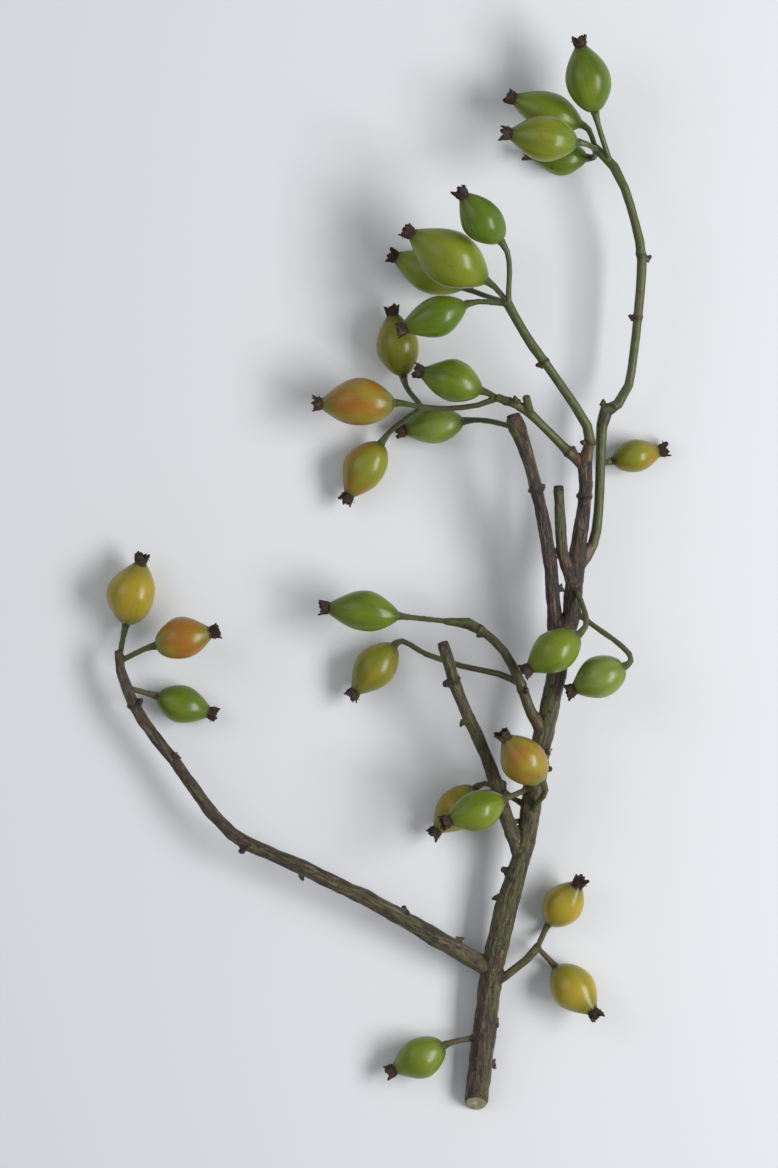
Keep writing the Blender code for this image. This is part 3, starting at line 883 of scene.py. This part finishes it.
# %% Bark
STALK_MAX = 1.35 * MM  # up to this radius a stem is a stalk
OLD_FROM, KNOB_FROM = -55 * MM, 48 * MM  # how far up the bark turns dark, and the pruned knob is red
# The radii from which a stem counts as a lateral, as the trunk, and as a knob.
LATERAL, TRUNK, KNOB = (2.1 * MM, 2.35 * MM), (2.65 * MM, 2.9 * MM), (2.8 * MM, 3.1 * MM)


def bark_finish():
    """Brown bark worn through to green in streaks, darker up the sprig, and greener on its shaded side."""
    made, tree, shader, place, field, read = stem_skin("bark", 0.5)
    streak, patch, fine = field(1.5, 10, 4, 0.65), field(6, 34, 2), field(0.5, 3.4, 5, 0.72)
    x, y, _ = put(tree, "ShaderNodeSeparateXYZ", {0: place}).outputs
    across, sunny, _ = put(tree, "ShaderNodeSeparateXYZ", {0: attribute(tree, "grain", "Vector")}).outputs
    older = times(tree, ramp(tree, y, OLD_FROM, OLD_FROM + 50 * MM), ramp(tree, x, 0.0, 30 * MM))
    older = times(tree, older, ramp(tree, read["thick"], *LATERAL))
    shaded = times(tree, ramp(tree, across, 0.35, -0.3), ramp(tree, read["thick"], *TRUNK))
    older = times(tree, older, less(tree, 1.0, times(tree, shaded, 0.9)))
    brown = blend(tree, ramp(tree, fine, 0.36, 0.64), (0.012, 0.008, 0.005), (0.088, 0.052, 0.030))
    grey = coat(tree, brown, (0.215, 0.165, 0.120), field(1.1, 8, 4), 0.55, 0.63, 0, 0.85)
    green = blend(tree, ramp(tree, fine, 0.38, 0.62), (0.034, 0.038, 0.010), (0.125, 0.128, 0.036))
    worn = plus(tree, times(tree, streak, 0.62), times(tree, patch, 0.38))
    worn = less(tree, worn, times(tree, older, 0.095))
    worn = less(tree, worn, times(tree, sunny, 0.030))
    worn = less(tree, worn, ramp(tree, x, 0.0, -35 * MM, 0, 0.05))
    colour = blend(tree, ramp(tree, worn, 0.492, 0.528, 0, 0.92), grey, green)
    dark = blend(tree, ramp(tree, fine, 0.40, 0.66), (0.008, 0.006, 0.004), (0.046, 0.028, 0.018))
    colour = blend(tree, times(tree, older, ramp(tree, streak, 0.60, 0.47)), colour, dark)
    tan = times(tree, older, ramp(tree, field(0.9, 12, 4), 0.555, 0.62, 0, 0.75))
    colour = blend(tree, tan, colour, (0.230, 0.160, 0.115))
    knob = times(tree, older, ramp(tree, read["thick"], *KNOB))
    knob = times(tree, knob, ramp(tree, y, KNOB_FROM, KNOB_FROM + 6 * MM))
    red = maths(tree, "MAXIMUM", knob, ramp(tree, field(5, 16, 3), 0.58, 0.66, 0, 0.75))
    reds = blend(tree, ramp(tree, fine, 0.4, 0.6), (0.050, 0.016, 0.010), (0.130, 0.060, 0.035))
    colour = blend(tree, red, colour, reds)
    spots = noise(tree, place, 420.0, 3, None, 0.6)
    colour = coat(tree, colour, (0.018, 0.009, 0.006), spots, 0.60, 0.66, 0, 0.85)
    stalk = blend(tree, ramp(tree, streak, 0.42, 0.60), (0.085, 0.108, 0.022), (0.100, 0.070, 0.030))
    colour = coat(tree, colour, stalk, read["thick"], STALK_MAX, STALK_MAX * 1.35, 0.9, 0.0)
    colour = coat(tree, colour, (0.022, 0.010, 0.006), read["node"], 0.15, 0.8, 0, 0.85)
    colour = coat(tree, colour, (0.045, 0.018, 0.010), read["proud"], 0.25 * MM, 0.8 * MM, 0, 0.8)
    pores = flecks(tree, place, 380.0, 0.24, 0.12)
    pores = times(tree, pores, ramp(tree, field(2.5, 6, 3), 0.50, 0.60))
    colour = blend(tree, times(tree, pores, 0.6), colour, (0.230, 0.170, 0.110))
    height = plus(tree, fine, times(tree, pores, 0.8))
    height = plus(tree, height, times(tree, streak, 1.5))
    link_up(tree, shader, colour, height, 0.9, 0.7 * MM, ramp(tree, fine, 0.3, 0.7, 0.60, 0.38))
    return made


bark = bark_finish()
print("bark:", len(bark.node_tree.nodes), "nodes")


# %% Green shoots
def shoot_finish():
    """Olive green, browner in streaks, at the foot, at the nodes, and where the bark is already woody."""
    made, tree, shader, place, field, read = stem_skin("green_shoot", 0.42)
    streak, fine = field(1.5, 14, 4), field(0.45, 4, 4, 0.7)
    green = blend(tree, ramp(tree, fine, 0.34, 0.66), (0.038, 0.052, 0.009), (0.092, 0.114, 0.023))
    colour = blend(tree, ramp(tree, streak, 0.48, 0.60, 0, 0.75), green, (0.078, 0.058, 0.024))
    colour = coat(tree, colour, (0.118, 0.122, 0.062), field(3.5, 22, 3), 0.54, 0.66, 0, 0.50)
    old = blend(tree, ramp(tree, fine, 0.36, 0.64), (0.026, 0.020, 0.009), (0.092, 0.070, 0.032))
    woody = times(tree, attribute(tree, "woody"), ramp(tree, streak, 0.66, 0.44, 0.15, 0.95))
    colour = blend(tree, woody, colour, old)
    ragged = times(tree, less(tree, streak, 0.5), 40 * MM)
    foot = plus(tree, read["along"], ragged)
    colour = coat(tree, colour, (0.085, 0.036, 0.020), foot, 2 * MM, 16 * MM, 0.9, 0.0)
    spots = noise(tree, place, 480.0, 3, None, 0.6)
    colour = coat(tree, colour, (0.060, 0.034, 0.014), spots, 0.61, 0.68, 0, 0.7)
    colour = coat(tree, colour, (0.036, 0.020, 0.011), read["node"], 0.15, 0.75, 0, 0.88)
    colour = coat(tree, colour, (0.050, 0.020, 0.012), read["proud"], 0.25 * MM, 0.7 * MM, 0, 0.9)
    gloss = ramp(tree, fine, 0.3, 0.7, 0.50, 0.34)
    link_up(tree, shader, colour, plus(tree, fine, streak), 0.45, 0.4 * MM, gloss)
    return made


green_shoot = shoot_finish()
print("green shoot:", len(green_shoot.node_tree.nodes), "nodes")

# %% [markdown]
# ### Flat ends on the solids
#
# A cut end is a flat face on the solid, and so is the tiny tip of each nub where a prickle or a bud grows.
# Triangles that lie in one plane are melted into one face, and an ellipse is fitted to its corners. A face
# that fills its ellipse is an end: a small one is the tip of a nub, a large one is a cut.

# %% Find the flat round ends
SAME_PLANE = math.radians(1.5)
# The share of an ellipse that a round end may fill, from face to face and from corner to corner.
FILLED, ROUND = (0.7, 1.1), (0.8, 1.2)


def flat_ends(mesh, least, most):
    """(middle, way out, long half axis, short half axis) of each flat round end between two sizes."""
    work = bmesh.new()
    work.from_mesh(mesh)
    bmesh.ops.dissolve_limit(work, angle_limit=SAME_PLANE, verts=work.verts, edges=work.edges)
    found = []
    for face in work.faces:
        area, way = face.calc_area(), np.array(face.normal)
        used = np.array([corner.co for corner in face.verts])
        if len(used) < 5 or not FILLED[0] * math.pi * least**2 < area < math.pi * most**2:
            continue
        middle = used.mean(axis=0)
        _, spread, ways = np.linalg.svd(used - middle)
        long, short = spread[:2] * math.sqrt(2 / len(used))
        reach = np.hypot((used - middle) @ ways[0] / long, (used - middle) @ ways[1] / short)
        filled = FILLED[0] < area / (math.pi * long * short) < FILLED[1]
        if filled and ROUND[0] < reach.min() and reach.max() < ROUND[1]:
            found.append((middle, way, ways[0] * long, np.cross(way, ways[0]) * short))
    work.free()
    return found


TIP_SIZES, CUT_SIZES = (0.2 * MM, 0.4 * MM), (2.0 * MM, 6.0 * MM)  # half axes of a nub's tip, and of a cut
PRICKLE_TIP = 0.285 * MM  # a nub with a tip this large is a prickle's, a smaller one a bud's
welds = {name: welded(name) for name in ["woody_stem", *shoot_names]}
nubs = {name: flat_ends(mesh, *TIP_SIZES) for name, mesh in welds.items()}
cuts = {name: flat_ends(mesh, *CUT_SIZES) for name, mesh in welds.items()}
print(sum(map(len, nubs.values())), "nubs and", sum(map(len, cuts.values())), "cut ends")

# %% Nodes, knobs and cuts, as numbers on the skin
NODE_WIDTH, NODE_REACH, KNOB_SPREAD = 0.9 * MM, 6 * MM, 3.8 * MM
KNOBS = ((82.0, 62.3, 15.6), (28.8, -18.3, 21.5))  # the lumpy places on two of the shoots, in millimetres
SAWN_DEPTH, SAWN_REACH = 1.4, 1.3  # how far behind a cut it is felt, in millimetres, and how far out in radii


def node_strength(points, along, places):
    """1 on the ring round each node, falling off along the stem."""
    total = np.zeros(len(points))
    for middle in places:
        away = np.linalg.norm(points - middle, axis=1)
        beside = (along - along[away.argmin()]) / NODE_WIDTH
        total = np.maximum(total, np.exp(-(beside**2)) * (away < NODE_REACH))
    return total


def knob_strength(points):
    """1 in the middle of each knob, where a shoot has been cut back and has grown on."""
    away = np.min([np.linalg.norm(points - np.array(spot) * MM, axis=1) for spot in KNOBS], axis=0)
    return np.exp(-((away / KNOB_SPREAD) ** 4))


def sawn(points, found):
    """1 on the face of each cut, falling to 0 just behind it, so that the relief leaves the face flat."""
    total = np.zeros(len(points))
    for middle, way, long, short in found:
        off = points - middle
        away = np.hypot(off @ long / (long @ long), off @ short / (short @ short))
        behind = np.abs(off @ way) / MM
        total = np.maximum(total, (SAWN_DEPTH - behind).clip(0, 1) * (away < SAWN_REACH))
    return total


print(len(KNOBS), "knobs")

# %% Wrap, measure and dress each stem
WOODY_UP_TO, WOODY_FADE = {"shoot_e": 50 * MM}, 8 * MM  # how far along a shoot the bark is already brown
trees = {name: tree_of(mesh) for name, mesh in welds.items()}
wood_corners = corners(welds["woody_stem"])
foot_corner = wood_corners[wood_corners[:, 1].argmin()]


def dress_stem(name, voxel, root, finish, others=(), **sizes):
    """Turns a stem's solid into its finished piece."""
    mesh = wrapped(welds[name], voxel)
    points, along, grain, thick, proud = measured(mesh, root, voxel, trees[name])
    if others:
        points = collared(points, facing(mesh), others)
        mesh.vertices.foreach_set("co", points.ravel())
    buds_here = [middle for middle, _, _, short in nubs[name] if np.linalg.norm(short) < PRICKLE_TIP]
    node = np.maximum(node_strength(points, along, buds_here), knob_strength(points))
    woody = ((WOODY_UP_TO.get(name, -MM) - along) / WOODY_FADE + 0.5).clip(0, 1)
    mark(mesh, along=along, thick=thick, proud=proud, node=node, woody=woody, grain=grain,
         sawn=sawn(points, cuts[name]))
    mesh.materials.clear()
    mesh.materials.append(finish)
    mesh.shade_smooth()
    piece = add_object(f"grown_{name}", mesh)
    grow(piece, relief, finish=finish, **sizes)
    dress(piece, name)
    usual = round(float(np.median(thick)) / MM, 2)
    print(name, len(piece.data.polygons), "faces, usual radius", usual, "mm,", len(buds_here), "buds")


dress_stem("woody_stem", 0.48 * MM, foot_corner, bark, ridge_height=0.36 * MM, ridge_width=1.3 * MM,
           ridge_length=7 * MM, swelling=1.7 * MM, swelling_length=10 * MM, node_ring=0.55 * MM)
for name in shoot_names:
    others = [tree for other, tree in trees.items() if other != name]
    root = np.array(root_in(welds[name], others))
    dress_stem(name, 0.32 * MM, root, green_shoot, others, ridge_height=0.10 * MM, ridge_width=0.9 * MM,
               ridge_length=16 * MM, swelling=0.4 * MM, swelling_length=9 * MM, node_ring=0.30 * MM)

# %% [markdown]
# ### Buds and prickles
#
# A bud sits above each old leaf: a small pointed cone of overlapping brown scales. A prickle is a smooth
# curved spike on a wide foot. Each is made once, and Geometry Nodes set it on every nub of its kind, turned
# the way the nub points.

# %% One bud and one prickle
NUB_AROUND = 12
BUD_SCALES = ((1.0, 0.0, 0.0), (0.80, 0.2, 0.3), (0.66, 0.2, 2.4), (0.50, 0.2, 4.4))  # height, lean, turn
around = 2 * np.pi * np.arange(NUB_AROUND) / NUB_AROUND


def ring_stack(x, y, z):
    """Rings from their coordinates in millimetres, a row for each ring."""
    return np.stack([x, y, z + 0 * x], axis=-1) * MM


def bud_rings(up=9):
    """A bud that points up, its tip at the origin: a teardrop and three scales round it."""
    t = np.linspace(0, 1, up)[:, None]
    radius = 1.05 * np.sin(np.pi * (t * 0.62 + 0.30)) ** 0.9 * (1 - t**3) + 0.02
    for tall, lean, turn in BUD_SCALES:
        side = np.cos(around - turn)
        push = radius * (1 + lean * side.clip(0) - 2.2 * lean * (-side).clip(0))
        yield ring_stack(push * np.cos(around), push * np.sin(around), 3.0 * (tall * t - 1))


def prickle_rings(up=10):
    """A prickle that points up, its tip at the origin, with a wide foot."""
    t = np.linspace(0, 1, up)[:, None]
    radius = 1.25 * (1 - t) ** 1.7 + 0.30 * (1 - t) + 0.03
    lean = 0.55 * (1 - t) ** 2
    yield ring_stack(radius * np.cos(around) + lean, 0.8 * radius * np.sin(around), 3.2 * (t - 1))


def small_finish(name, dark, light, roughness):
    """A finely speckled finish for buds or prickles."""
    made, tree, shader, place = new_material(name, roughness)
    grain = noise(tree, place, 900.0, 3)
    tree.links.new(blend(tree, ramp(tree, grain, 0.35, 0.65), dark, light), shader.inputs["Base Color"])
    return made


bud_brown = small_finish("bud scales", (0.024, 0.010, 0.006), (0.110, 0.048, 0.024), 0.55)
prickle_red = small_finish("prickle", (0.085, 0.032, 0.018), (0.210, 0.115, 0.060), 0.4)
print("a bud has", len(list(bud_rings())), "parts, a prickle", len(list(prickle_rings())))


# %% A tree that sets a thing on each nub
def nub_tree():
    """Sets a thing on each point, its long axis along the attribute way."""
    tree, given = new_tree("things on nubs", (
        ("Thing", "Object", None), ("Least", "Float", None), ("Most", "Float", None), ("Seed", "Int", None)))
    thing = put(tree, "GeometryNodeObjectInfo", {"Object": given["Thing"]}).outputs["Geometry"]
    way = named(tree, "way", "FLOAT_VECTOR")
    turned = put(tree, "FunctionNodeAlignRotationToVector", {"Vector": way}, axis="Z").outputs[0]
    size = put(tree, "FunctionNodeRandomValue", {
        2: given["Least"], 3: given["Most"], "Seed": given["Seed"]}).outputs[1]
    points = put(tree, "GeometryNodeMeshToPoints", {"Mesh": given["Geometry"]}).outputs[0]
    placed = put(tree, "GeometryNodeInstanceOnPoints", {
        "Points": points, "Instance": thing, "Rotation": turned, "Scale": size})
    return end_tree(tree, placed.outputs[0], given)


on_nubs = nub_tree()
print("nub tree:", len(on_nubs.nodes), "nodes")

# %% Set the buds and the prickles
for kind, rings, finish, is_kind in (
    ("buds", bud_rings(), bud_brown, lambda short: short < PRICKLE_TIP),
    ("prickles", prickle_rings(), prickle_red, lambda short: short >= PRICKLE_TIP),
):
    thing = mesh_object(kind, *stacked(rings), finish)
    for number, (name, found) in enumerate(nubs.items()):
        here = [(middle, way) for middle, way, _, short in found if is_kind(np.linalg.norm(short))]
        if here:
            spots, ways = (np.array(column) for column in zip(*here))
            piece = mesh_object(f"{kind}_{name}", spots, [], finish, way=ways)
            grow(piece, on_nubs, thing=thing, least=0.8, most=1.05, seed=number, finish=finish)
            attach(piece, "root")
            print(name, len(here), kind)
    bpy.data.objects.remove(thing)

# %% [markdown]
# ### Cut ends
#
# Secateurs leave a clean face: a thin dark rim of bark, pale wood in faint rings, and a soft pith in the
# middle. Each large flat end gets a thin disc with a crisp edge. Tops that were pruned last year have dried,
# gone black at the rim and healed to a low dome. The foot was cut when the sprig was picked, so it is fresh
# and dished a little.

# %% Cut wood
def cut_finish(name, wood, rim, pith, dirt):
    """Wood rings, a rim and a pith, read from the attribute cut, which is (x, y) in radii."""
    made, tree, shader, place = new_material(name, 0.7)
    spot = attribute(tree, "cut", "Vector")
    away = put(tree, "ShaderNodeVectorMath", {0: spot}, operation="LENGTH").outputs["Value"]
    wander = times(tree, noise(tree, spot, 2.5, 3), 0.16)
    far = plus(tree, away, less(tree, wander, 0.08))
    rings = maths(tree, "SINE", times(tree, far, 34.0))
    colour = blend(tree, ramp(tree, rings, -1.0, 1.0, 0, 0.35), wood, [c * 0.62 for c in wood])
    grain = noise(tree, place, 2600.0, 2)
    colour = coat(tree, colour, [c * 0.5 for c in wood], grain, 0.4, 0.7, 0, 0.4)
    colour = coat(tree, colour, pith, far, 0.26, 0.18)
    colour = coat(tree, colour, rim, noise(tree, spot, 1.6, 4), 0.45, 0.62, 0, dirt)
    colour = coat(tree, colour, rim, far, 0.80, 0.88)
    link_up(tree, shader, colour, grain, 0.5, 0.3 * MM)
    return made


FRESH_WOOD, FRESH_RIM, FRESH_PITH = (0.420, 0.360, 0.200), (0.040, 0.028, 0.014), (0.520, 0.470, 0.330)
DRY_WOOD, DRY_RIM, DRY_PITH = (0.120, 0.092, 0.060), (0.014, 0.009, 0.006), (0.050, 0.032, 0.020)
fresh_cut = cut_finish("fresh cut wood", FRESH_WOOD, FRESH_RIM, FRESH_PITH, 0.3)
dry_cut = cut_finish("dry cut wood", DRY_WOOD, DRY_RIM, DRY_PITH, 0.9)
print("cut wood, fresh and dry")

# %% Discs for the cut ends
CUT_AROUND = 48
# Each ring of a disc: its share of the radius, and its height in millimetres over the cut.
CUT_PROFILE = (
    (0.80, -1.2), (0.88, -0.1), (0.86, 0.24), (0.78, 0.32), (0.55, 0.24), (0.25, 0.15), (0.06, 0.10))
HEALED = 0.7  # the height of the dome on a dry cut, in millimetres
turns = 2 * np.pi * np.arange(CUT_AROUND) / CUT_AROUND
circle = np.stack([np.cos(turns), np.sin(turns), 0 * turns], axis=1)
for number, (middle, way, long, short) in enumerate(cuts["woody_stem"]):
    draw = np.random.default_rng(40 + number)
    uneven = 1 + 0.025 * sum(math.sin(n) * np.sin(n * turns + draw.uniform(0, 6)) for n in (2, 3, 5))
    is_foot = np.linalg.norm(middle - foot_corner) < 12 * MM
    flat = uneven[:, None] * (circle @ np.stack([long, short, way]))
    rings = [
        middle + share * flat + (high + (0 if is_foot else HEALED * (1 - share**2))) * MM * way
        for share, high in CUT_PROFILE
    ]
    points, faces = stacked([np.array(rings)])
    points[:, 2] = points[:, 2].clip(CLEAR)
    marks = np.concatenate([circle * share for share, _ in CUT_PROFILE])
    piece = mesh_object(f"cut_end_{number + 1}", points, faces, fresh_cut if is_foot else dry_cut, cut=marks)
    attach(piece, "root")
    half_axes = np.linalg.norm([long, short], axis=1) / MM
    print("cut end at", np.round(middle / MM, 1), "half axes", half_axes.round(1))

# %% [markdown]
# ## The table, the light and the camera
#
# The sprig lies on a plain pale table. A long soft window above and to the right draws a streak of light on
# each hip, a weak fill on the left keeps the shadows soft, and the camera looks down on the sprig.

# %% Table and lights
TABLE_SIDE, TABLE_GREY, SKY = 8, (0.79, 0.80, 0.825, 1), (0.93, 0.96, 1.0, 1)
SKY_STRENGTH = 0.32
# A lamp's place, its width and height in metres, and its watts.
LAMPS = {"window": ((1.05, -0.05, 0.90), 1.08, 0.46, 17.5), "fill": ((-0.9, 0.5, 0.9), 0.9, 0.9, 3)}


def stage():
    bpy.ops.mesh.primitive_plane_add(size=TABLE_SIDE)
    floor = bpy.context.object
    floor.name = "table"
    made, _, shader, _ = new_material("pale table", 0.75)
    shader.inputs["Base Color"].default_value = TABLE_GREY
    floor.data.materials.append(made)
    floor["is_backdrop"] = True
    world = bpy.data.worlds.new("studio")
    bpy.context.scene.world = world
    world.use_nodes = True
    sky = world.node_tree.nodes["Background"].inputs
    sky["Color"].default_value, sky["Strength"].default_value = SKY, SKY_STRENGTH
    for name, (at, wide, tall, watts) in LAMPS.items():
        light = bpy.data.lights.new(name, "AREA")
        light.shape, light.size, light.size_y, light.energy = "RECTANGLE", wide, tall, watts
        lamp = add_object(name, light)
        lamp.location = at
        lamp.rotation_euler = (-Vector(at)).to_track_quat("-Z", "Y").to_euler()
        lamp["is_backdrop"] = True


stage()
print("a table and", len(LAMPS), "lamps")

# %% Camera
DISTANCE, TILT, MARGIN, SENSOR = 1.6, math.radians(5), 1.07, 36
low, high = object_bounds()
middle = Vector([(a + b) / 2 for a, b in zip(low, high)])
camera = bpy.data.cameras.new("camera")
seen = add_object("camera", camera)
seen.location = middle + Vector((0, math.sin(TILT), math.cos(TILT))) * DISTANCE
seen.rotation_euler = (-TILT, 0, 0)
camera.sensor_fit, camera.sensor_height = "VERTICAL", SENSOR
camera.lens = SENSOR * DISTANCE / ((high[1] - low[1]) * MARGIN)
bpy.context.scene.camera = seen
bpy.context.scene.view_settings.view_transform = "Standard"
print("camera with a lens of", round(camera.lens), "mm")

# %% Finish
print("the scene is set")
